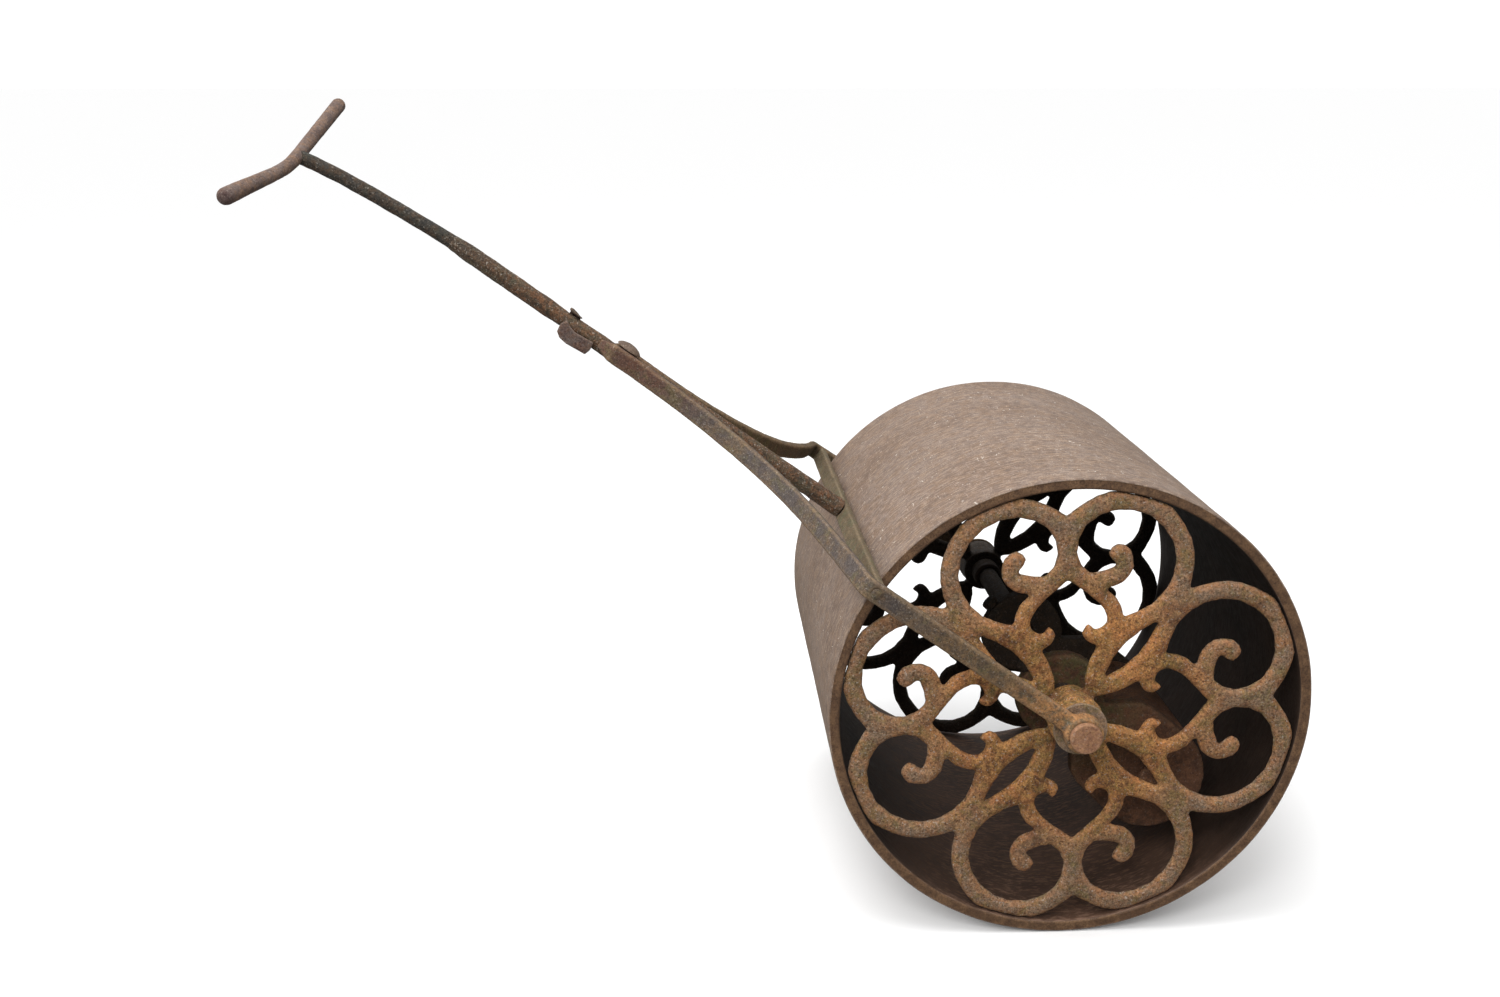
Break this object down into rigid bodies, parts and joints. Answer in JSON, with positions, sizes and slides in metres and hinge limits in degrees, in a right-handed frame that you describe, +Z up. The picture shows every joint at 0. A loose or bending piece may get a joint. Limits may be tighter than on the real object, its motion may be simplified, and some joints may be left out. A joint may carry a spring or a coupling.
{
  "type": "lawn roller",
  "caption": "Hand-pulled cast-iron lawn roller: a hollow drum with open scroll-work ends on an axle, a fork handle with a T grip, and an inner counterweight that holds the handle up.",
  "frame": {"origin": "on the ground under the middle of the drum, on the flat of the drum that rests there", "axes": "+Z up, the drum's axis along Y, the handle leans out towards -X, the near end with the counterweight at -Y"},
  "size_m": [1.1148, 0.629, 0.8684],
  "materials": {
    "drum_rust": "worn, finely scratched brown-mauve rust",
    "scroll_rust": "pitted orange-brown rust",
    "bar_iron": "dark grey-brown rust, worn on its edges",
    "stay_iron": "olive-brown rust",
    "dark_iron": "nearly black rust",
    "pin_iron": "reddish-brown rust"
  },
  "bodies": {
    "drum": {"drum_shell": "drum_rust", "end_scroll_near": "scroll_rust", "end_scroll_far": "scroll_rust"},
    "handle": {"axle": "dark_iron", "axle_nut_near": "pin_iron", "axle_nut_far": "pin_iron", "thrust_washer_near": "pin_iron", "thrust_washer_far": "pin_iron", "axle_collar_near": "dark_iron", "axle_collar_far": "dark_iron", "fork_arm_near": "bar_iron", "fork_arm_far": "bar_iron", "cross_stay": "stay_iron", "stay_rivet_near": "pin_iron", "stay_rivet_far": "pin_iron", "handle_shaft": "bar_iron", "handle_rod": "bar_iron", "grip_bar": "pin_iron", "clamp_band": "bar_iron", "band_key": "pin_iron", "clamp_rivet": "pin_iron", "weight_lever_near": "dark_iron", "weight_lever_inner": "dark_iron", "set_screw_near": "pin_iron", "set_screw_inner": "pin_iron", "counterweight": "dark_iron", "tie_bolt": "pin_iron", "tie_nut": "pin_iron"}
  },
  "joints": [
    {"name": "drum_roll", "type": "hinge", "parent": "drum", "child": "handle", "pos_m": [0, 0, 0.254], "axis": [0, 1, 0], "continuous": true}
  ]
}
